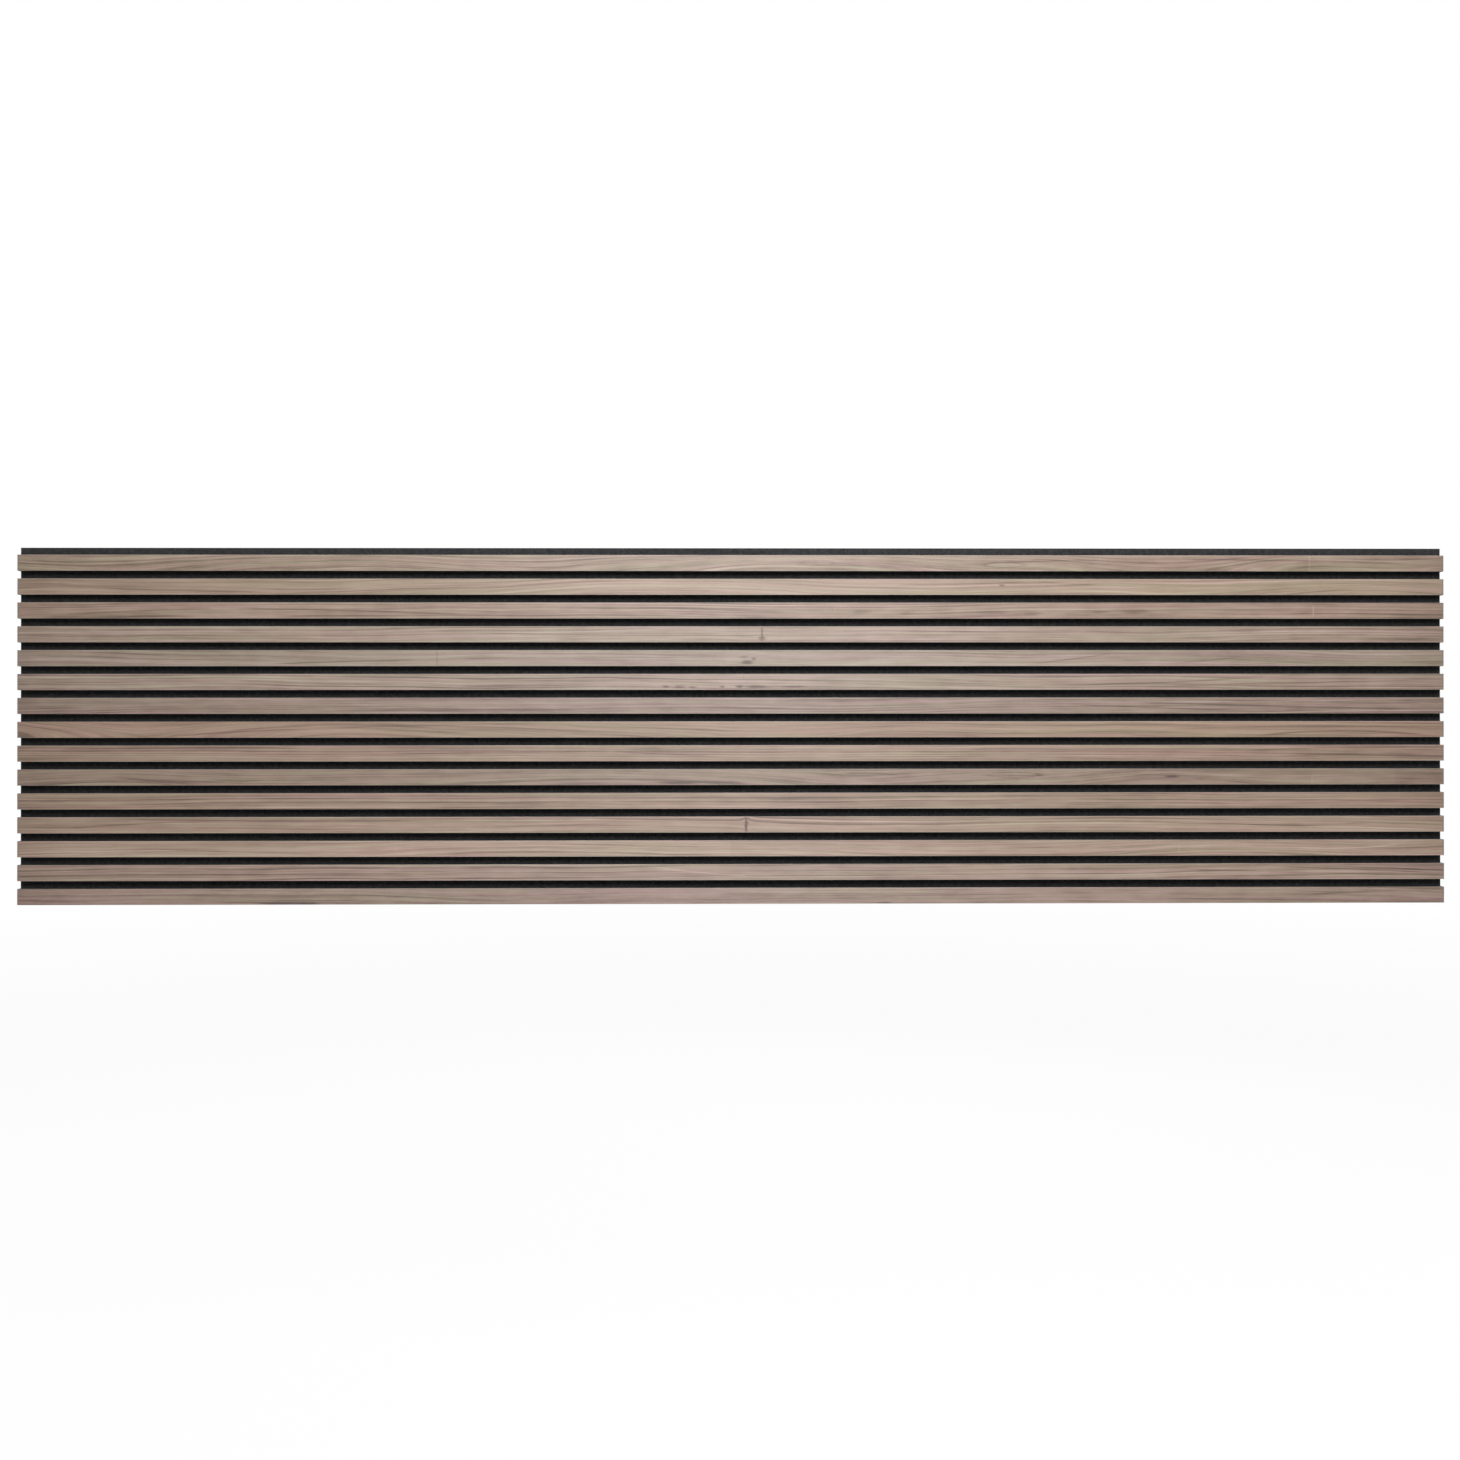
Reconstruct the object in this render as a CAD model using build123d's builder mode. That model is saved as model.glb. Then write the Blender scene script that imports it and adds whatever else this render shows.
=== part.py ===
from build123d import *
from build123d.topology import SkipClean
import os

# Slatted acoustic wall panel: fibreboard slats with a walnut face leaf, each one glued and stapled through
# a felt backing board. The panel is as it hangs on a wall with its slats level: X runs along the slats,
# Z is up and the front faces -Y. The origin is the centre of the back face, the one that lies against the
# wall. Lengths are in millimetres.

# Driving dimensions
panel_length = 2400.0  # along the slats
slat_count = 15
slat_width = 27.0  # height of a slat's face on the wall
slat_gap = 13.0  # open channel between two slats, and the bare felt tongue above the top slat
core_thickness = 11.4  # black-dyed fibreboard strip
veneer_thickness = 0.6  # walnut face leaf
arris_radius = 0.4  # sanded long edges of the veneer
felt_thickness = 9.0

staples_per_slat = 6
staple_end_margin = 200.0  # from the panel's end to the nearest staple's middle
crown_length = 12.8  # outside width of a staple, across both legs
wire_width = 0.95
wire_thickness = 0.68
crown_sink = 0.3  # how far the crown is pressed below the felt's back face
tip_cover = 4.4  # fibreboard left between a leg's tip and the veneer
point_length = 1.0  # chisel point at a leg's tip

# Places that follow from them
slat_pitch = slat_width + slat_gap
panel_height = slat_count * slat_pitch
lowest_slat_height = (slat_width - panel_height) / 2  # flush with the felt's lower edge
middle_slat_height = lowest_slat_height + (slat_count - 1) * slat_pitch / 2

core_back = felt_thickness
core_front = core_back + core_thickness

leg_tip = core_front - tip_cover
crown_bed = crown_sink + wire_thickness  # depth in the felt of the crown's inner face
leg_spread = crown_length - wire_thickness  # between the middles of a staple's two legs
staple_spacing = (panel_length - 2 * staple_end_margin) / max(staples_per_slat - 1, 1)


def wall_plane(depth, height=0.0):
    """A sketch plane parallel to the wall, so far in front of it, centred at a height."""
    return Plane(origin=(0, -depth, height), x_dir=(1, 0, 0), z_dir=(0, -1, 0))


def staple_places(rows):
    """Where the middles of the staples are, along the slats and across so many of them."""
    return GridLocations(staple_spacing, slat_pitch, staples_per_slat, rows)


def draw_leg_slits(rows):
    """Draws the sections of all the staples' legs in the sketch that is open."""
    with staple_places(rows):
        with GridLocations(leg_spread, 0, 2, 1):
            Rectangle(wire_thickness, wire_width)


def make_felt_backing():
    """Pressed felt board, with the grooves and slits that the staples made in it."""
    with BuildPart() as felt_backing:
        with BuildSketch(wall_plane(0)):
            Rectangle(panel_length, panel_height)
        extrude(amount=felt_thickness)
        # The cuts leave no faces to merge, and looking for some in so many slits is slow.
        with SkipClean():
            with BuildSketch(wall_plane(0, middle_slat_height)):
                with staple_places(slat_count):
                    Rectangle(crown_length, wire_width)
            extrude(amount=crown_bed, mode=Mode.SUBTRACT, clean=False)
            with BuildSketch(wall_plane(crown_bed, middle_slat_height)):
                draw_leg_slits(slat_count)
            extrude(amount=felt_thickness - crown_bed, mode=Mode.SUBTRACT, clean=False)
    return felt_backing.part


def make_slat_core():
    """Fibreboard strip with the slits that the staples' legs cut in its back, centred at height 0."""
    with BuildPart() as slat_core:
        with BuildSketch(wall_plane(core_back)):
            Rectangle(panel_length, slat_width)
        extrude(amount=core_thickness)
        with BuildSketch(wall_plane(core_back)):
            draw_leg_slits(1)
        extrude(amount=leg_tip - core_back, mode=Mode.SUBTRACT)
    return slat_core.part


def make_slat_veneer():
    """Thin face leaf with its two long front edges sanded round, centred at height 0."""
    with BuildPart() as slat_veneer:
        with BuildSketch(wall_plane(core_front)):
            Rectangle(panel_length, slat_width)
        extrude(amount=veneer_thickness)
        front_face = slat_veneer.faces().sort_by(Axis.Y)[0]
        fillet(front_face.edges().filter_by(Axis.X), arris_radius)
    return slat_veneer.part


def make_staple_row():
    """One slat's staples: flat wire bent square, crown at the back, points in the slat."""
    half_crown = crown_length / 2
    inner = half_crown - wire_thickness
    with BuildPart() as staples:
        with BuildSketch(Plane.XY):
            with staple_places(1):
                Polygon(
                    (-half_crown, -crown_sink),
                    (-half_crown, -leg_tip),
                    (-inner, point_length - leg_tip),
                    (-inner, -crown_bed),
                    (inner, -crown_bed),
                    (inner, point_length - leg_tip),
                    (half_crown, -leg_tip),
                    (half_crown, -crown_sink),
                    align=None,
                )
        extrude(amount=wire_width / 2, both=True)
    return staples.part


def write(part, name):
    """Labels a finished piece and writes it as its own file."""
    part.label = name
    export_step(part, f"parts/{name}.step")


os.makedirs("parts", exist_ok=True)
write(make_felt_backing(), "felt_backing")

core = make_slat_core()
veneer = make_slat_veneer()
slat_staples = make_staple_row()
staples = []
# Slats are numbered from the top, as they are seen on the wall.
for number in range(1, slat_count + 1):
    place = Location((0, 0, lowest_slat_height + (slat_count - number) * slat_pitch))
    write(core.moved(place), f"slat_core_{number:02d}")
    write(veneer.moved(place), f"slat_veneer_{number:02d}")
    staples += slat_staples.moved(place).solids()
write(Compound(children=staples), "staples")
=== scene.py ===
import math
import random

import bpy
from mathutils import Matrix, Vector


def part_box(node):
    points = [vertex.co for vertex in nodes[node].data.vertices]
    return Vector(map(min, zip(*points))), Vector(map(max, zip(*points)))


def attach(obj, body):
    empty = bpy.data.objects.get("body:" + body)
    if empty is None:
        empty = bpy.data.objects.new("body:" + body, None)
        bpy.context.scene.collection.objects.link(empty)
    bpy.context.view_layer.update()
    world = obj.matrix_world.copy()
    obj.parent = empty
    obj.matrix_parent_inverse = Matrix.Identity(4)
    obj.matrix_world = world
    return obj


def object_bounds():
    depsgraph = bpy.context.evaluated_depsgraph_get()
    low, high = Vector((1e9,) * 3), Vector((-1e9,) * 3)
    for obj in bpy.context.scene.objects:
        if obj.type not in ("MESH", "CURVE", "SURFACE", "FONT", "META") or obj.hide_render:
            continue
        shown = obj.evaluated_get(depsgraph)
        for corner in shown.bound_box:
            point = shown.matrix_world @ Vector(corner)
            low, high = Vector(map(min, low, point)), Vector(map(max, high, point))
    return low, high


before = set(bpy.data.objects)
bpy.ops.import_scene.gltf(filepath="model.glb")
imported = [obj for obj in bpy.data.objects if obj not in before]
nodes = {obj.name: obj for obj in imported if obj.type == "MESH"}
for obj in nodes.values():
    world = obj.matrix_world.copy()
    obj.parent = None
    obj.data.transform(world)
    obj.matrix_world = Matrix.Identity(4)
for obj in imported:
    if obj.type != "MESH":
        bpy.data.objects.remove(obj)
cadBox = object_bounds()
print("frame loaded:", len(nodes), "pieces")

# The panel hangs with its slats level: X runs along them, the front faces -Y, the wall is at y = 0.
millimetre = 0.001
panelLow, panelHigh = (Vector(corner) for corner in cadBox)
feltLow, feltHigh = (Vector(corner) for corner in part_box("felt_backing"))
halfLength = (panelHigh.x - panelLow.x) / 2 / millimetre
slatNames = sorted(name for name in nodes if name.startswith("slat_veneer_"))


class Wire:  # a shader socket that can be written with in sums
    def __init__(self, tree, socket=None):
        self.tree = tree
        self.socket = socket

    def node(self, kind, settings=None, sockets=None, out=0):
        made = self.tree.nodes.new("ShaderNode" + kind)
        for name, value in (settings or {}).items():
            if name == "stops":
                setStops(made.color_ramp, value)
            else:
                setattr(made, name, value)
        for name, value in (sockets or {}).items():
            if isinstance(value, Wire):
                self.tree.links.new(value.socket, made.inputs[name])
            else:
                made.inputs[name].default_value = value
        return Wire(self.tree, made.outputs[out])

    def other(self, name):  # another output of the same node
        return Wire(self.tree, self.socket.node.outputs[name])

    def sum(self, operation, *values):
        return self.node("Math", {"operation": operation}, dict(enumerate(values)))

    def __add__(self, value):
        return self.sum("ADD", self, value)

    def __sub__(self, value):
        return self.sum("SUBTRACT", self, value)

    def __rsub__(self, value):
        return self.sum("SUBTRACT", value, self)

    def __mul__(self, value):
        return self.sum("MULTIPLY", self, value)

    def __truediv__(self, value):
        return self.sum("DIVIDE", self, value)

    def __pow__(self, value):
        return self.sum("POWER", self, value)

    def __abs__(self):
        return self.sum("ABSOLUTE", self)

    __radd__ = __add__

    def larger(self, value):
        return self.sum("MAXIMUM", self, value)

    def step(self, low, high):  # 0 below low, 1 above high, smooth between them
        return self.node("MapRange", {"interpolation_type": "SMOOTHSTEP"}, {0: self, 1: low, 2: high})

    def hill(self):  # 1 at 0, falling to nothing a few units away
        return (self * self + 1) ** -2

    def vector(self, operation, *values):
        return self.node("VectorMath", {"operation": operation}, dict(enumerate(values)))

    def solidNoise(self, place, scale, detail, roughness=0.5):
        return self.node("TexNoise", sockets={
            "Vector": place, "Scale": scale, "Detail": detail, "Roughness": roughness})

    def noise(self, along, across, seed, detail, roughness):  # even noise over two lengths
        place = self.node("CombineXYZ", sockets={0: along, 1: across, 2: seed})
        return self.solidNoise(place, 1.0, detail, roughness)

    def line(self, seed, detail, roughness):  # noise along one length
        return self.node("TexNoise", {"noise_dimensions": "1D"}, {
            "W": self + seed, "Scale": 1.0, "Detail": detail, "Roughness": roughness})

    def blend(self, first, second, factor, way="MIX"):
        first, second = (opaque(colour) for colour in (first, second))
        return self.node("Mix", {"data_type": "RGBA", "blend_type": way}, {
            0: factor, 6: first, 7: second}, out=2)

    def bump(self, height, strength, distance):  # distance in millimetres
        return self.node("Bump", sockets={
            "Strength": strength, "Distance": distance * millimetre, "Height": height})


def opaque(colour):  # a colour as a socket takes it
    return colour if isinstance(colour, Wire) else (*colour, 1.0)


def setStops(ramp, stops):
    while len(ramp.elements) < len(stops):
        ramp.elements.new(0.5)
    for element, (position, colour) in zip(ramp.elements, stops):
        element.position = position
        element.color = opaque(colour)


def newMaterial(name, build):
    material = bpy.data.materials.new(name)
    material.use_nodes = True
    tree = material.node_tree
    tree.nodes.clear()
    shader = build(Wire(tree))
    output = tree.nodes.new("ShaderNodeOutputMaterial")
    tree.links.new(shader.socket, output.inputs["Surface"])
    return material


def dress(node, material):
    nodes[node].data.materials.clear()
    nodes[node].data.materials.append(material)


# Walnut face leaves. Lengths are millimetres: along from the panel's left end, up from the slat's middle.
veneer = {
    "stops": [
        (0.00, (0.070, 0.042, 0.030)),  # knots
        (0.28, (0.162, 0.105, 0.072)),  # late wood
        (0.55, (0.286, 0.206, 0.152)),
        (1.00, (0.443, 0.353, 0.277)),  # early wood
    ],
    "blush": [  # the wood's hue shifts between these
        (0.32, (1.085, 0.965, 1.05)),
        (0.68, (0.94, 1.015, 0.905)),
    ],
    # Painted highlight: a pale greyish colour along the long edges stands for the lamp's sheen on their
    # rounding
    "paintedEdgeHighlight": (0.42, 0.35, 0.31),
    "paintedHighlightFrom": (1.0, 0.2),  # over these distances from a long edge the painted highlight sets in
    "sandedShare": 0.45,
    "paintedHighlightRagged": 0.8,  # how far the fibres make that border ragged
    # A darker, greyer strip within a few millimetres of each end of the leaf
    "endStripColour": (0.185, 0.158, 0.142),
    "endStripFrom": (3.8, 1.4),  # and over these from an end a darker, greyer strip
    "endStripShare": 0.6,
    "endStripRagged": 1.5,
    "paintedEndShade": 0.10,  # painted shade: how much darker the leaf is painted towards its ends, for the light falling off there
    "paintedEndShadeLength": 120,
    "roughness": 0.595,
    "fibreRoughness": 0.14,
    "lineRoughness": 0.03,
    "poreRoughness": 0.1,
    "specular": 1.0,
    "acrossFibres": 0.66,  # how much further the sheen spreads across the fibres than along them
    "sheenTurn": 0.25,
    "relief": dict(rings=0.25, strands=0.2, fibres=0.25, pores=0.6),
    "reliefStrength": 0.5,
    "poreDepth": 0.06,
    "seedStep": 17.3,  # how far apart the noise of two slats lies
}

# Layers of noise that the grain is made of: (length, width, own seed, detail, roughness)
grainLayers = {
    "fading": (260, 7, 1, 2.0, 0.5),
    "streaks": (560, 3.2, 2, 3.0, 0.6),
    "shiver": (190, 16, 3, 2.0, 0.5),
    "strands": (150, 1.2, 4, 3.0, 0.6),
    "fibres": (34, 0.42, 6, 2.0, 0.6),
    "flames": (48, 13, 8, 2.0, 0.5),
    "clouds": (260, 30, 9, 1.0, 0.5),
    "pores": (6, 0.16, 10, 1.0, 0.5),
    "blush": (420, 3.6, 12, 2.0, 0.5),
    "raggedAlong": (9, 1.6, 14, 2.0, 0.6),
    "raggedUp": (13, 3.5, 15, 2.0, 0.6),
}
# Layers that vary one way only: (length, own seed, detail, roughness)
grainLines = {
    "wander": (900, 0, 2.0, 0.5),
    "cut": (620, 7, 1.0, 0.5),
    "rings": (3.4, 11, 3.0, 0.6),
    "thinLines": (2.6, 5, 2.0, 0.5),
    "paleLines": (2.9, 21, 1.0, 0.5),
}
# A layer starts to show at the first of these noise values, and shows wholly at the second.
grainSteps = {
    "thinLines": (0.55, 0.68),
    "paleLines": (0.60, 0.72),
    "fading": (0.38, 0.62),
    "pores": (0.60, 0.74),
}
# How much each layer lightens or darkens the wood, where 0 is a knot and 1 is early wood
grainShade = {
    "even": 0.57,
    "rings": 0.60,
    "streaks": 0.84,
    "strands": 0.66,
    "fibres": 0.38,
    "flames": 0.31,
    "clouds": 0.26,
    "thinLines": 0.26,
    "pores": 0.07,
    "paleLines": 0.18,
}
# How the grain runs
grainFlow = {
    "part": 0.6,  # how far it parts round a knot
    "partAlong": 0.3,  # how soon the parting ends along and across the slat
    "partAcross": 0.5,
    "sway": 3.2,
    "shiver": 4.0,
    "cut": 26,  # how much the leaf's height above the pith varies
}

# heart: how far off the leaf's cathedral figure lies, plane: how high above the pith it was sliced,
# lean: the slope of the grain in mm a metre, sway: how far it wanders, lines: how strong its lines are,
# flame: how much figure lies across the grain.
slatLooks = [
    dict(tone=1.00, tint=(0.99, 1.01, 1.00), heart=20, plane=30, lean=-5, sway=8, lines=0.8, flame=1.2),
    dict(tone=1.09, tint=(1.00, 1.01, 0.985), heart=30, plane=34, lean=-4, sway=8, lines=0.7, flame=0.4),
    dict(tone=0.965, tint=(1.02, 0.985, 1.00), heart=44, plane=20, lean=-4, sway=6, lines=1.2, flame=1.4),
    dict(tone=1.085, tint=(0.98, 1.02, 1.055), heart=60, plane=20, lean=-3, sway=4, lines=0.8, flame=1.1),
    dict(tone=1.02, tint=(0.97, 1.025, 1.08), heart=48, plane=26, lean=9, sway=5, lines=0.7, flame=1.1),
    dict(tone=1.065, tint=(0.98, 1.01, 1.06), heart=52, plane=24, lean=8, sway=6, lines=1.0, flame=1.0),
    dict(tone=0.865, tint=(1.00, 0.98, 1.03), heart=70, plane=14, lean=-8, sway=4, lines=1.1, flame=1.3),
    dict(tone=0.985, tint=(1.03, 0.99, 0.93), heart=26, plane=40, lean=9, sway=6, lines=0.6, flame=0.4),
    dict(tone=0.925, tint=(1.02, 0.98, 0.945), heart=74, plane=14, lean=3, sway=3, lines=1.2, flame=1.2),
    dict(tone=0.805, tint=(1.00, 0.995, 0.965), heart=24, plane=30, lean=-3, sway=7, lines=0.9, flame=1.3),
    dict(tone=0.935, tint=(1.02, 0.985, 0.95), heart=76, plane=12, lean=-2, sway=3, lines=1.2, flame=1.2),
    dict(tone=1.08, tint=(1.01, 1.00, 0.98), heart=40, plane=24, lean=6, sway=5, lines=0.9, flame=0.8),
    dict(tone=1.22, tint=(1.01, 1.01, 1.02), heart=36, plane=34, lean=-3, sway=7, lines=0.7, flame=0.6),
    dict(tone=1.02, tint=(1.00, 0.985, 1.02), heart=66, plane=16, lean=-6, sway=6, lines=1.2, flame=1.2),
    dict(tone=0.97, tint=(1.00, 0.99, 1.035), heart=44, plane=30, lean=2, sway=5, lines=0.6, flame=1.4),
]

# What the figure of single slats shows, by the slat's number. A mark is (along, up, length, height, dark),
# and a dark below 0 is pale.
knots = {  # the grain runs round these
    2: [(1651, 3, 6, 2, 0.468), (1713, 9, 20, 4, 0.052)],
    4: [(1247, -7, 6, 5, 0.442)],
    5: [(1222, -7, 11, 4, 0.572), (1217, 2, 7, 3, 0.182), (1233, -1, 5, 3, 0.338)],
    10: [(1939, 0, 11, 2, 0.624), (1108, -10, 34, 3, 0.39)],
    12: [(1220, -3, 3, 10, 0.416)],
}
eyes = {  # oval outlines
    1: [(1656, -3, 34, 4, 0.308), (1340, 0, 26, 5, 0.14)],
    10: [(1428, 2, 64, 5, 0.112), (1672, 3, 44, 4, 0.392)],
}
blots = {  # soft spots
    1: [(1494, -6, 60, 4, 0.15), (1855, 0, 80, 4, 0.12)],
    3: [(1416, -2, 20, 4, 0.21), (1491, -4, 16, 3, 0.195), (1634, -3, 38, 4, 0.33),
        (1704, -5, 18, 4, 0.21), (1817, -2, 16, 3, 0.18), (1879, -2, 28, 4, 0.3)],
    4: [(2320, -9, 90, 4, 0.24), (2150, 4, 240, 4, -0.105)],
    6: [(1236, -8, 22, 3, 0.405), (1209, -8, 7, 3, 0.48), (1180, -8, 5, 2, 0.39), (1300, -8, 24, 2, 0.3),
        (1085, -8, 7, 2, 0.45), (1109, -8, 11, 3, 0.375), (1130, -9, 8, 2, 0.45)],
    8: [(2242, -8, 70, 3, 0.15)],
    9: [(347, 9, 80, 2, 0.09)],
    10: [(1440, 1, 60, 2, 0.105), (1680, 2, 50, 2, 0.21)],
    12: [(2138, -1, 26, 4, 0.06)],
    13: [(1996, 3, 110, 3, -0.15)],
    14: [(1134, 5, 70, 3, -0.06)],
    15: [(436, -12, 28, 3, 0.66), (484, -12, 20, 3, 0.6), (1454, -12, 14, 2, 0.42),
         (2240, 5, 90, 3, 0.075)],
}
ticks = {  # short lines across the slat, as (along, up, width, height, dark)
    1: [(2172, 0, 0.9, 14, -0.26)],
    3: [(2179, -1, 1.1, 10, -0.34), (1370, 3, 0.8, 5, -0.16)],
    4: [(1247, 4, 1.5, 9, 0.46)],
    5: [(701, 0, 0.9, 14, 0.28)],
    6: [(1216, 8, 0.8, 5, 0.14)],
    10: [(2176, -6, 0.8, 8, -0.28)],
    12: [(1220, 0, 1.6, 12, 0.46)],
    13: [(1951, -2, 0.8, 6, -0.2)],
}
strokes = {  # long lines, as (from along, up, to along, up, bow, thick, dark)
    1: [(1560, -4, 1840, 4, 3, 2.0, 0.266), (899, -8, 1126, 4, 5, 1.875, 0.266),
        (1900, 7, 2390, -4, 3, 2.125, 0.304)],
    2: [(1464, 3, 1713, 9, -1, 1.125, 0.266), (1713, 9, 1815, 4, -1, 1.125, 0.228),
        (120, -3, 420, -8, -2, 1.5, 0.228)],
    3: [(70, -7, 336, 3, 1, 2.0, 0.342), (336, 3, 760, -7, 2, 1.875, 0.418),
        (900, 4, 1330, -5, 3, 1.625, 0.304), (20, -10, 300, -9, 0, 2.25, 0.266)],
    4: [(1320, 6, 1800, 2, 1, 1.25, 0.19), (700, 4, 1180, -3, -1, 1.25, 0.19)],
    5: [(398, -12, 691, -2, 1, 1.0, 0.38), (691, -2, 1180, 1, 1, 1.0, 0.228),
        (1702, -9, 1841, 8, -1, 1.25, 0.266), (1936, -9, 2063, 3, -1, 1.125, 0.19)],
    6: [(1740, -7, 2105, 9, -2, 1.25, 0.323), (1850, -10, 2390, 2, 2, 1.25, 0.247),
        (980, 6, 1180, 1, 1, 1.25, 0.228)],
    7: [(1750, 3, 2073, -8, -1, 1.25, 0.342), (1820, 7, 2390, -7, -1, 1.625, 0.38),
        (1968, 9, 2390, 2, 1, 1.5, 0.228), (470, -9, 1000, -6, 0, 1.375, 0.228)],
    8: [(241, -12, 492, 2, 1, 1.375, 0.342), (492, 2, 900, 10, 1, 1.25, 0.228),
        (2068, -13, 2390, -12, 9, 1.75, 0.456), (1900, -2, 2390, 4, 3, 2.25, 0.152)],
    9: [(991, 3, 1179, -6, 0, 1.25, 0.247), (600, -2, 1000, 3, 1, 1.25, 0.228),
        (2050, 3, 2390, 8, 3, 1.25, 0.304), (2100, -6, 2390, -2, 2, 1.25, 0.247),
        (60, 7, 500, 8, 2, 1.625, 0.266)],
    10: [(150, 2, 380, -3, -6, 1.75, 0.342), (180, -6, 420, -4, -4, 1.375, 0.266),
         (1060, -9, 1230, -11, 1, 2.5, 0.38), (1380, 6, 1480, 3, 2, 1.25, 0.418),
         (1850, 4, 2160, -5, 1, 1.5, 0.228)],
    11: [(380, 0, 900, -6, 2, 1.25, 0.266), (1700, 2, 2390, -3, 2, 1.25, 0.247),
         (50, 4, 340, 3, 1, 1.625, 0.19)],
    12: [(60, -8, 340, 6, 3, 1.5, 0.266), (340, 6, 900, 3, 2, 1.375, 0.19),
         (1980, 2, 2300, 3, -4, 1.5, 0.228)],
    13: [(2120, 3, 2340, 8, -7, 1.375, -0.304), (870, 8, 1180, 2, 0, 1.25, 0.19),
         (200, 1, 520, -9, -1, 1.25, 0.19)],
    14: [(2100, 8, 2390, -3, 1, 1.375, 0.342), (2160, 9, 2390, 2, 1, 1.125, 0.266),
         (1900, 4, 2390, -9, 1, 1.375, 0.266), (1050, 11, 1240, -8, -2, 1.125, -0.304),
         (80, -2, 700, -6, 1, 1.5, 0.266)],
    15: [(300, -9, 620, -11, 0, 1.5, 0.228), (2150, -2, 2330, 7, 2, 2.0, 0.228)],
}
seams = {  # where one leaf is jointed to the next, and how much paler the next one is
    1: [(2172, 0.04)],
    3: [(2179, -0.02)],
    4: [(2137, -0.02)],
    10: [(2176, 0.04), (2317, -0.07)],
    13: [(1194, -0.04), (1479, -0.04)],
}

marking = {
    "raggedAlong": 9,  # how far a mark's outline strays
    "raggedUp": 3,
    "rim": 0.22,  # the line of an eye, as a share of its size
    "tickEnds": (1.1, 0.6),  # a tick fades between these shares of its height
    "strokeEnds": 0.2,  # and a stroke over this share of its length
    "strokeShiver": 3.0,  # how far a stroke follows the grain's own shiver
    "seam": 0.5,  # half the width over which a seam's change sets in
}
# How much the grain shows in a mark: (by the grain's own shade, evenly)
markGrain = {
    "knot": (0.8, 0.6),
    "eye": (0.7, 0.4),
    "blot": (0.9, 0.55),
    "tick": (1.0, 0.5),
    "stroke": (1.2, 0.4),
}


def grainLayer(leaf, number, name, along, across):
    length, width, seed, detail, roughness = grainLayers[name]
    return leaf.noise(along / length, across / width, number * veneer["seedStep"] + seed, detail, roughness)


def grainLine(number, name, across):
    width, seed, detail, roughness = grainLines[name]
    return (across / width).line(number * veneer["seedStep"] + seed, detail, roughness)


def raggedPlace(leaf, number, along, up):  # the place as the marks see it, for ragged outlines
    strayAlong = grainLayer(leaf, number, "raggedAlong", along, up) - 0.5
    strayUp = grainLayer(leaf, number, "raggedUp", along, up) - 0.5
    return along + strayAlong * marking["raggedAlong"], up + strayUp * marking["raggedUp"]


def marked(marks, number, ragged):  # how far a place is from each mark, in the mark's own lengths
    for markAlong, markUp, length, tall, dark in marks.get(number, []):
        yield (ragged[0] - markAlong) / length, (ragged[1] - markUp) / tall, markUp, dark


def makeGrain(leaf, number, along, up, ragged):
    look = slatLooks[number - 1]

    # The grain wanders along the slat and parts round its knots.
    across = up
    for sideways, above, markUp, _ in (*marked(knots, number, ragged), *marked(eyes, number, ragged)):
        far = sideways * sideways * grainFlow["partAlong"] + above * above * grainFlow["partAcross"]
        across = across - (across - markUp) * (far + 1) ** -1 * grainFlow["part"]
    wander = grainLine(number, "wander", along) - 0.5
    shiver = grainLayer(leaf, number, "shiver", along, across) - 0.5
    flow = across + wander * (grainFlow["sway"] * look["sway"]) + shiver * grainFlow["shiver"]
    flow = flow + (along - halfLength) * (look["lean"] * millimetre)

    # A flat-sliced leaf shows the rings as long arches, by their distance from the pith.
    cut = (grainLine(number, "cut", along) - 0.5) * grainFlow["cut"] + look["plane"]
    offset = flow + look["heart"]
    ring = (offset * offset + cut * cut) ** 0.5

    grain = {"shiver": shiver}
    for name in ("rings", "thinLines", "paleLines"):
        grain[name] = grainLine(number, name, ring)
    for name in ("fading", "streaks", "strands", "fibres", "pores", "blush"):
        grain[name] = grainLayer(leaf, number, name, along, ring)
    for name in ("flames", "clouds"):
        grain[name] = grainLayer(leaf, number, name, along, up)
    for name, ends in grainSteps.items():
        grain[name] = grain[name].step(*ends)
    return grain


def shadeWood(look, grain):
    wood = grainShade["even"]
    strength = {"rings": look["lines"], "flames": look["flame"]}
    for name in ("rings", "streaks", "strands", "fibres", "flames", "clouds"):
        wood = wood + (grain[name] - 0.5) * (grainShade[name] * strength.get(name, 1.0))
    wood = wood - grain["thinLines"] * grain["fading"] * (grainShade["thinLines"] * look["lines"])
    wood = wood - grain["pores"] * grainShade["pores"]
    return wood + grain["paleLines"] * (1 - grain["fading"]) * (grainShade["paleLines"] * look["lines"])


def darken(wood, kind, layer, near, dark):
    byGrain, evenly = markGrain[kind]
    return wood - near * dark * (layer * byGrain + evenly)


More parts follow.
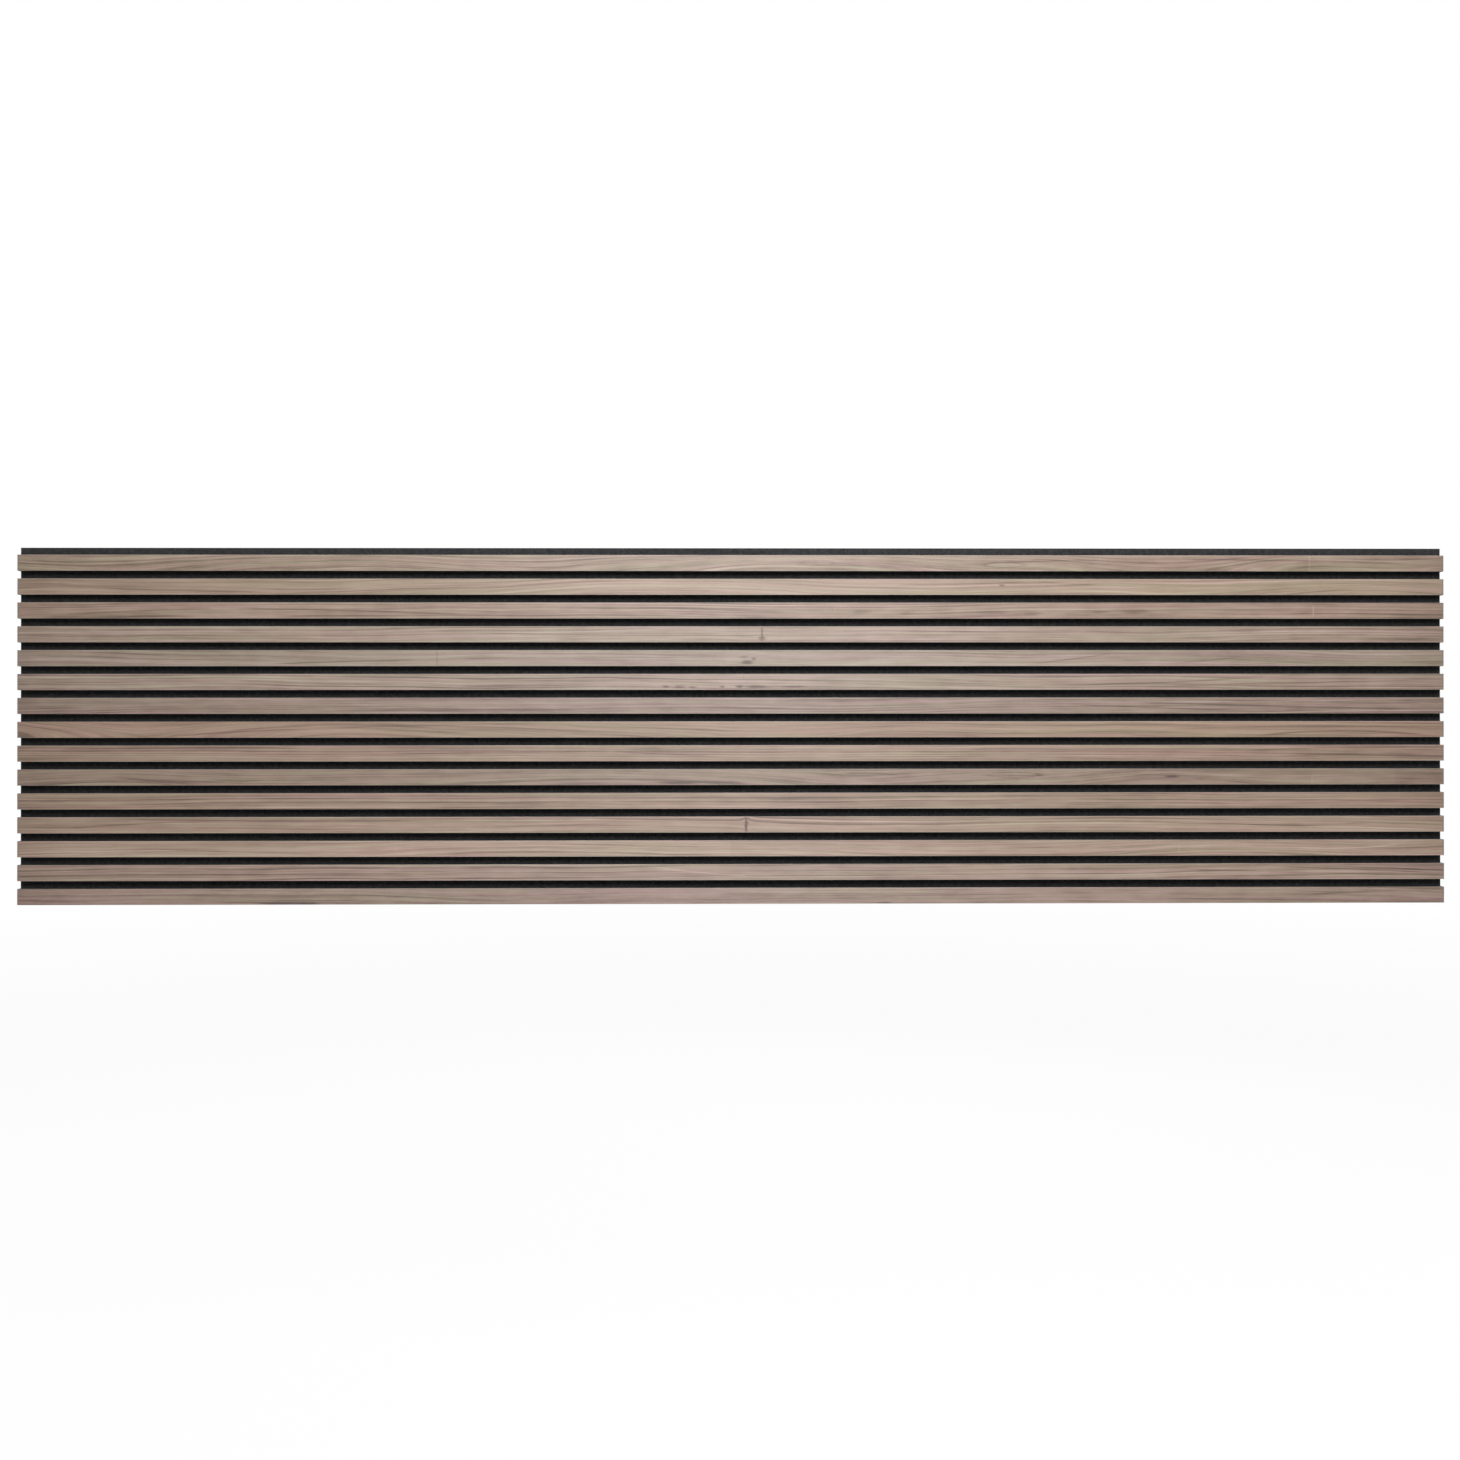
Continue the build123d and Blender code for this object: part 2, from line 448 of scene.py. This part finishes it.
def markWood(wood, grain, number, along, up, ragged):
    for sideways, above, _, dark in marked(knots, number, ragged):
        near = (sideways * sideways + above * above).hill()
        wood = darken(wood, "knot", grain["strands"], near, dark)
    for sideways, above, _, dark in marked(eyes, number, ragged):
        rim = (sideways * sideways + above * above) ** 0.5 - 1
        wood = darken(wood, "eye", grain["fading"], (rim / marking["rim"]).hill(), dark)
    for sideways, above, _, dark in marked(blots, number, ragged):
        near = (sideways * sideways + above * above).hill()
        wood = darken(wood, "blot", grain["streaks"], near, dark)
    for tickAlong, tickUp, wide, tall, dark in ticks.get(number, []):
        near = ((along - tickAlong) / wide).hill() * abs((up - tickUp) / tall).step(*marking["tickEnds"])
        wood = darken(wood, "tick", grain["strands"], near, dark)
    for startAlong, startUp, endAlong, endUp, bow, thick, dark in strokes.get(number, []):
        share = (along - startAlong) / (endAlong - startAlong)
        middle = share * (endUp - startUp) + startUp + share * (1 - share) * (4 * bow)
        near = ((up + grain["shiver"] * marking["strokeShiver"] - middle) / thick).hill()
        near = near * share.step(0.0, marking["strokeEnds"]) * share.step(1.0, 1.0 - marking["strokeEnds"])
        wood = darken(wood, "stroke", grain["strands"], near, dark)
    for seamAlong, change in seams.get(number, []):
        wood = wood + along.step(seamAlong - marking["seam"], seamAlong + marking["seam"]) * change
    return wood


def colourWood(leaf, look, wood, grain):
    stops = []
    for position, colour in veneer["stops"]:
        stops.append((position, [look["tone"] * part * tint for part, tint in zip(colour, look["tint"])]))
    colour = leaf.node("ValToRGB", {"stops": stops}, {0: wood})
    blush = leaf.node("ValToRGB", {"stops": veneer["blush"]}, {0: grain["blush"]})
    return leaf.blend(colour, blush, 1.0, "MULTIPLY")


def veneerMaterial(number, low, high):
    look = slatLooks[number - 1]
    height = (low[2] + high[2]) / 2
    halfWidth = (high[2] - low[2]) / 2 / millimetre

    def build(leaf):
        place = leaf.node("SeparateXYZ", sockets={0: leaf.node("TexCoord", out="Object")})
        along = (place - panelLow.x) / millimetre
        up = (place.other("Z") - height) / millimetre
        fromMiddle = abs(along - halfLength)
        ragged = raggedPlace(leaf, number, along, up)
        grain = makeGrain(leaf, number, along, up, ragged)
        fibres, pores = grain["fibres"], grain["pores"]

        wood = markWood(shadeWood(look, grain), grain, number, along, up, ragged)
        # Painted shade: the wood is darkened towards both ends for the light falling off there
        paintedEndShade = fromMiddle.step(halfLength - veneer["paintedEndShadeLength"], halfLength)
        colour = colourWood(leaf, look, wood - paintedEndShade * veneer["paintedEndShade"], grain)
        # Painted highlight: the long edges are paled for the sheen on their rounding, not for wear
        sanded = abs(up) + (fibres - 0.5) * veneer["paintedHighlightRagged"]
        sanded = sanded.step(*(halfWidth - distance for distance in veneer["paintedHighlightFrom"]))
        colour = leaf.blend(colour, veneer["paintedEdgeHighlight"], sanded * veneer["sandedShare"])
        endStrip = fromMiddle + (fibres - 0.5) * veneer["endStripRagged"]
        endStrip = endStrip.step(*(halfLength - distance for distance in veneer["endStripFrom"]))
        colour = leaf.blend(colour, veneer["endStripColour"], endStrip * veneer["endStripShare"])

        depth = veneer["relief"]
        relief = grain["rings"] * depth["rings"] + grain["strands"] * depth["strands"]
        relief = relief + fibres * depth["fibres"] - pores * depth["pores"]
        roughness = (fibres - 0.5) * veneer["fibreRoughness"] - grain["thinLines"] * veneer["lineRoughness"]
        return leaf.node("BsdfPrincipled", sockets={
            "Base Color": colour,
            "Roughness": roughness + pores * veneer["poreRoughness"] + veneer["roughness"],
            "Specular IOR Level": veneer["specular"],
            "Anisotropic": veneer["acrossFibres"],
            "Anisotropic Rotation": veneer["sheenTurn"],
            "Normal": leaf.bump(relief, veneer["reliefStrength"], veneer["poreDepth"]),
        })

    return newMaterial(f"walnut leaf {number:02d}", build)


for number, name in enumerate(slatNames, 1):
    dress(name, veneerMaterial(number, *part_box(name)))
print("veneers done:", len(slatNames))


# Black-dyed fibreboard under the leaves. From here on a noise is (scale, detail, roughness), and a depth is
# in millimetres.
fibreboard = {
    "dark": (0.0075, 0.0062, 0.0056),
    "pale": (0.030, 0.024, 0.021),
    "chips": (900.0, 3.0, 0.65),
    "clumps": (160.0, 2.0),
    "millMarks": (18.0, 1400.0, 1400.0),
    "fleckShares": (0.6, 0.2, 0.2),
    "fleckSteps": (0.42, 0.68),
    "roughness": 0.78,
    "chipRoughness": 0.2,
    "specular": 0.25,
    "millDepth": 0.7,
    "strength": 0.6,
    "depth": 0.08,
}


def fibreboardMaterial():
    def build(board):
        place = board.node("TexCoord", out="Object")
        chips = board.solidNoise(place, *fibreboard["chips"])
        clumps = board.solidNoise(place, *fibreboard["clumps"])
        mill = board.solidNoise(board.vector("MULTIPLY", place, fibreboard["millMarks"]), 1.0, 2.0)
        chipShare, clumpShare, millShare = fibreboard["fleckShares"]
        flecks = chips * chipShare + clumps * clumpShare + mill * millShare
        flecks = flecks.step(*fibreboard["fleckSteps"])
        return board.node("BsdfPrincipled", sockets={
            "Base Color": board.blend(fibreboard["dark"], fibreboard["pale"], flecks),
            "Roughness": (chips - 0.5) * fibreboard["chipRoughness"] + fibreboard["roughness"],
            "Specular IOR Level": fibreboard["specular"],
            "Normal": board.bump(chips + mill * fibreboard["millDepth"], fibreboard["strength"],
                                 fibreboard["depth"]),
        })

    return newMaterial("black fibreboard", build)


blackBoard = fibreboardMaterial()
for name in sorted(nodes):
    if name.startswith("slat_core_"):
        dress(name, blackBoard)
print("cores done")


# Pressed felt: black polyester fibres that lie every way
felt = {
    "dark": (0.020, 0.020, 0.0205),
    "pale": (0.105, 0.105, 0.108),
    "fibreSize": (7.0, 0.5, 0.22),  # mm
    "turns": (8, 52, 97, 141),  # degrees that the layers of fibres lie at
    "layerOffset": (0.013, 0.017, 0.011),
    "wave": (90.0, 0.006),  # scale of the fibres' bends, and how far they bend
    "fibreSteps": (0.52, 0.74),
    "mottle": (130.0, 4.0, 0.6),
    "clouds": (9.0, 2.0),
    "shade": dict(even=0.17, strands=0.45, mottle=0.6, clouds=0.15),
    "roughness": 0.95,
    "strandRoughness": 0.1,
    "specular": 0.12,
    "sheen": (0.04, 0.6),  # its strength and roughness
    "strandDepth": 0.6,
    "strength": 0.7,
    "depth": 0.35,
}


def feltMaterial():
    def build(cloth):
        place = cloth.node("TexCoord", out="Object")
        scale, reach = felt["wave"]
        wavy = cloth.node("TexNoise", sockets={"Vector": place, "Scale": scale, "Detail": 1.0}, out="Color")
        wavy = cloth.vector("SUBTRACT", wavy, (0.5, 0.5, 0.5))
        wavy = cloth.node("VectorMath", {"operation": "SCALE"}, {0: wavy, "Scale": reach})
        bent = cloth.vector("ADD", place, wavy)
        layers = []
        for layer, turn in enumerate(felt["turns"]):
            turned = cloth.node("Mapping", {"vector_type": "TEXTURE"}, {
                "Vector": bent,
                "Location": [part * layer for part in felt["layerOffset"]],
                "Rotation": (0.0, math.radians(turn), 0.0),
                "Scale": [part * millimetre for part in felt["fibreSize"]],
            })
            layers.append(cloth.solidNoise(turned, 1.0, 2.0).step(*felt["fibreSteps"]))
        strands = layers[0]
        for fibres in layers[1:]:
            strands = strands.larger(fibres)
        mottle = cloth.solidNoise(place, *felt["mottle"])
        clouds = cloth.solidNoise(place, *felt["clouds"])
        shares = felt["shade"]
        shade = strands * shares["strands"] + (mottle - 0.5) * shares["mottle"]
        shade = shade + (clouds - 0.5) * shares["clouds"] + shares["even"]
        sheen, sheenRoughness = felt["sheen"]
        return cloth.node("BsdfPrincipled", sockets={
            "Base Color": cloth.blend(felt["dark"], felt["pale"], shade.step(0.0, 1.0)),
            "Roughness": felt["roughness"] - strands * felt["strandRoughness"],
            "Specular IOR Level": felt["specular"],
            "Sheen Weight": sheen,
            "Sheen Roughness": sheenRoughness,
            "Normal": cloth.bump(strands * felt["strandDepth"] + mottle, felt["strength"], felt["depth"]),
        })

    return newMaterial("black felt", build)


dress("felt_backing", feltMaterial())

# Loose fibres that stand out of the felt
fuzz = {
    "seed": 11,
    "radius": 0.035,  # mm
    "taper": 0.2,  # share of the radius that a fibre loses at each joint
    "length": (0.7, 2.2),
    "rooted": 0.3,  # how deep a fibre starts in the felt
    "rise": (0.5, 1.6),  # a fibre's own factor on how far its face's fibres stand off
    "curl": 0.45,
    "sides": 3,
    "joints": 4,
    "top": (2400, 0.5),  # how many fibres a face has, and how far they stand off it
    "bottom": (1000, 0.5),
    "end": (600, 0.6),
    "tongue": (1100, 0.35),
    "channel": (90, 0.35),
    "back": (1500, 0.12),
    "dark": (0.02, 0.02, 0.021),
    "pale": (0.12, 0.12, 0.125),
    "shade": (400.0, 1.0),
    "shadeSteps": (0.35, 0.7),
    "roughness": 0.75,
    "specular": 0.2,
}


def fuzzPatches():  # each with its two corners and the way it faces
    left, back, bottom = feltLow.x, feltHigh.y, feltLow.z
    right, front, top = feltHigh.x, feltLow.y, feltHigh.z
    slatTops = [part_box(name)[1][2] for name in slatNames]
    slatBottoms = [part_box(name)[0][2] for name in slatNames]
    yield "top", (left, front, top), (right, back, top), (0, 0, 1)
    yield "bottom", (left, front, bottom), (right, back, bottom), (0, 0, -1)
    yield "end", (left, front, bottom), (left, back, top), (-1, 0, 0)
    yield "end", (right, front, bottom), (right, back, top), (1, 0, 0)
    yield "tongue", (left, front, slatTops[0]), (right, front, top), (0, -1, 0)
    for upper, lower in zip(slatBottoms, slatTops[1:]):
        yield "channel", (left, front, lower), (right, front, upper), (0, -1, 0)
    yield "back", (left, back, bottom), (right, back, top), (0, 1, 0)


def fibrePath(draw, low, high, normal, stand):  # the joints of one fibre, each with its heading
    root = Vector([draw.uniform(a, b) for a, b in zip(low, high)])
    sideways = Vector([draw.uniform(-1, 1) for _ in range(3)])
    sideways = (sideways - normal * sideways.dot(normal)).normalized()
    length = draw.uniform(*fuzz["length"]) * millimetre
    heading = (normal * stand * draw.uniform(*fuzz["rise"]) + sideways).normalized()
    curl = Vector([draw.uniform(-1, 1) for _ in range(3)]) * fuzz["curl"]
    point = root - normal * fuzz["rooted"] * millimetre
    for _ in range(fuzz["joints"]):
        yield point, heading
        point = point + heading * length / (fuzz["joints"] - 1)
        heading = (heading + curl).normalized()


def addFibre(vertices, faces, path):
    sides = fuzz["sides"]
    first = len(vertices)
    for joint, (point, heading) in enumerate(path):
        thick = fuzz["radius"] * millimetre * (1.0 - fuzz["taper"] * joint)
        side = heading.orthogonal().normalized()
        other = heading.cross(side)
        for corner in range(sides):
            angle = math.tau * corner / sides
            vertices.append(point + (side * math.cos(angle) + other * math.sin(angle)) * thick)
    last = len(vertices) - sides
    for start in range(first, last, sides):
        for corner in range(sides):
            after = (corner + 1) % sides
            faces.append((start + corner, start + after, start + after + sides, start + corner + sides))
    faces.append(tuple(range(first + sides - 1, first - 1, -1)))
    faces.append(tuple(range(last, last + sides)))


def fuzzMesh():
    draw = random.Random(fuzz["seed"])
    vertices, faces = [], []
    for patch, low, high, normal in fuzzPatches():
        count, stand = fuzz[patch]
        for _ in range(count):
            addFibre(vertices, faces, fibrePath(draw, low, high, Vector(normal), stand))
    mesh = bpy.data.meshes.new("felt_fuzz")
    mesh.from_pydata(vertices, [], faces)
    mesh.update()
    return mesh


def fuzzMaterial():
    def build(hair):
        shade = hair.solidNoise(hair.node("TexCoord", out="Object"), *fuzz["shade"])
        return hair.node("BsdfPrincipled", sockets={
            "Base Color": hair.blend(fuzz["dark"], fuzz["pale"], shade.step(*fuzz["shadeSteps"])),
            "Roughness": fuzz["roughness"],
            "Specular IOR Level": fuzz["specular"],
        })

    return newMaterial("felt fibres", build)


feltFuzz = bpy.data.objects.new("felt_fuzz", fuzzMesh())
bpy.context.scene.collection.objects.link(feltFuzz)
feltFuzz.data.materials.append(fuzzMaterial())
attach(feltFuzz, "root")
print("felt done:", len(feltFuzz.data.polygons), "fibre faces")


# Galvanised staple wire
stapleWire = {
    "bright": (0.62, 0.62, 0.64),
    "dull": (0.36, 0.36, 0.38),
    "bloom": (500.0, 3.0),
    "bloomSteps": (0.35, 0.62),
    "drawMarks": (300.0, 9000.0, 9000.0),
    "roughness": 0.34,
    "bloomRoughness": 0.3,
    "strength": 0.3,
    "depth": 0.02,
}


def stapleMaterial():
    def build(wire):
        place = wire.node("TexCoord", out="Object")
        bloom = wire.solidNoise(place, *stapleWire["bloom"])
        drawn = wire.solidNoise(wire.vector("MULTIPLY", place, stapleWire["drawMarks"]), 1.0, 1.0)
        shine = bloom.step(*stapleWire["bloomSteps"])
        return wire.node("BsdfPrincipled", sockets={
            "Base Color": wire.blend(stapleWire["dull"], stapleWire["bright"], shine),
            "Metallic": 1.0,
            "Roughness": (bloom - 0.5) * stapleWire["bloomRoughness"] + stapleWire["roughness"],
            "Normal": wire.bump(drawn, stapleWire["strength"], stapleWire["depth"]),
        })

    return newMaterial("galvanised wire", build)


dress("staples", stapleMaterial())
print("staples done")


# Floor, far below the panel as it hangs, and a white surround
surround = {
    "floorDrop": 0.95,  # below the panel's lower edge, in metres
    "floorSize": 60.0,
    "floorColour": (0.80, 0.80, 0.80),
    "speck": (3.0, 2.0),
    "speckRoughness": 0.1,
    "floorRoughness": 0.8,
    "floorSpecular": 0.1,
    "seenWhite": 0.95,  # share of plain white in the floor as it is seen; the rest keeps the shadow
    "whiteOut": (3.5, 10.0),  # metres from the panel over which the seen floor turns wholly white
    "white": (1.0, 1.0, 1.0),
    "fillColour": (1.0, 0.985, 0.96),
    "fill": 0.10,  # how strongly the white surround lights the panel
}


def seenRays(wire):  # 1 where a ray shows the surround, itself or in gloss or glass, and 0 where it lights
    rays = wire.node("LightPath", out="Is Camera Ray")
    return rays.larger(rays.other("Is Glossy Ray")).larger(rays.other("Is Transmission Ray"))


def floorMaterial():
    def build(ground):
        place = ground.node("TexCoord", out="Object")
        speck = ground.solidNoise(place, *surround["speck"])
        paper = ground.node("BsdfPrincipled", sockets={
            "Base Color": opaque(surround["floorColour"]),
            "Roughness": speck * surround["speckRoughness"] + surround["floorRoughness"],
            "Specular IOR Level": surround["floorSpecular"],
        })
        white = ground.node("Emission", sockets={"Color": opaque(surround["white"]), "Strength": 1.0})
        distance = ground.node("VectorMath", {"operation": "LENGTH"}, {0: place}, out="Value")
        far = distance.step(*surround["whiteOut"])
        whiteness = far * (1 - surround["seenWhite"]) + surround["seenWhite"]
        return ground.node("MixShader", sockets={0: seenRays(ground) * whiteness, 1: paper, 2: white})

    return newMaterial("pale floor", build)


def makeFloor():
    half = surround["floorSize"] / 2
    height = panelLow.z - surround["floorDrop"]
    corners = [(x, y, height) for x, y in ((-half, -half), (half, -half), (half, half), (-half, half))]
    mesh = bpy.data.meshes.new("floor")
    mesh.from_pydata(corners, [], [(0, 1, 2, 3)])
    mesh.materials.append(floorMaterial())
    floor = bpy.data.objects.new("floor", mesh)
    bpy.context.scene.collection.objects.link(floor)


def makeWorld():
    world = bpy.data.worlds.new("white surround")
    world.use_nodes = True
    world.node_tree.nodes.clear()
    sky = Wire(world.node_tree)
    fill = sky.node("Background", sockets={
        "Color": opaque(surround["fillColour"]), "Strength": surround["fill"]})
    white = sky.node("Background", sockets={"Color": opaque(surround["white"]), "Strength": 1.0})
    light = sky.node("MixShader", sockets={0: seenRays(sky), 1: fill, 2: white})
    output = world.node_tree.nodes.new("ShaderNodeOutputWorld")
    world.node_tree.links.new(light.socket, output.inputs["Surface"])
    bpy.context.scene.world = world


# Lamps: a softbox above and in front, and weak ones that keep the back and the ends readable
lamps = {
    "softbox": dict(place=(0.06, -2.20, 1.95), aim=(0.45, 0.0, 0.0), size=(1.4, 1.9), power=72.5,
                    colour=(0.985, 1.0, 1.02), spread=150),
    "backLight": dict(place=(0.8, 2.6, 1.5), aim=(0.0, 0.0, 0.0), size=(2.0, 1.4), power=75.0,
                      colour=(1.0, 1.0, 1.0), spread=160),
    "leftLight": dict(place=(-3.6, 0.7, 0.4), aim=(-1.2, 0.0, 0.0), size=(1.0, 1.0), power=30.0,
                      colour=(1.0, 1.0, 1.0), spread=160),
    "rightLight": dict(place=(3.6, 0.7, 0.4), aim=(1.2, 0.0, 0.0), size=(1.0, 1.0), power=30.0,
                       colour=(1.0, 1.0, 1.0), spread=160),
}


def placeAndAim(name, data, settings):  # puts a lamp or the camera where it belongs and turns it to its aim
    made = bpy.data.objects.new(name, data)
    made.location = settings["place"]
    made.rotation_euler = (Vector(settings["aim"]) - made.location).to_track_quat("-Z", "Y").to_euler()
    bpy.context.scene.collection.objects.link(made)
    return made


def makeLamps():
    for name, lamp in lamps.items():
        data = bpy.data.lights.new(name, "AREA")
        data.shape = "RECTANGLE"
        data.size, data.size_y = lamp["size"]
        data.energy = lamp["power"]
        data.color = lamp["colour"]
        data.spread = math.radians(lamp["spread"])
        placeAndAim(name, data, lamp)


# The photograph's view: square on, a little left of the middle, near the panel's middle height
camera = {
    "place": (-0.0299, -2.3329, -0.0137),
    "aim": (-0.0070, -0.0210, -0.0075),
    "lens": 33.887,
    "sensor": 36.0,
    "roll": -0.035,  # degrees
}


def makeCamera():
    data = bpy.data.cameras.new("camera")
    data.lens = camera["lens"]
    data.sensor_width = camera["sensor"]
    made = placeAndAim("camera", data, camera)
    made.rotation_euler.rotate_axis("Z", math.radians(camera["roll"]))
    bpy.context.scene.camera = made


makeFloor()
makeWorld()
makeLamps()
makeCamera()
bpy.context.scene.view_settings.view_transform = "Standard"
print("floor, light and camera done")
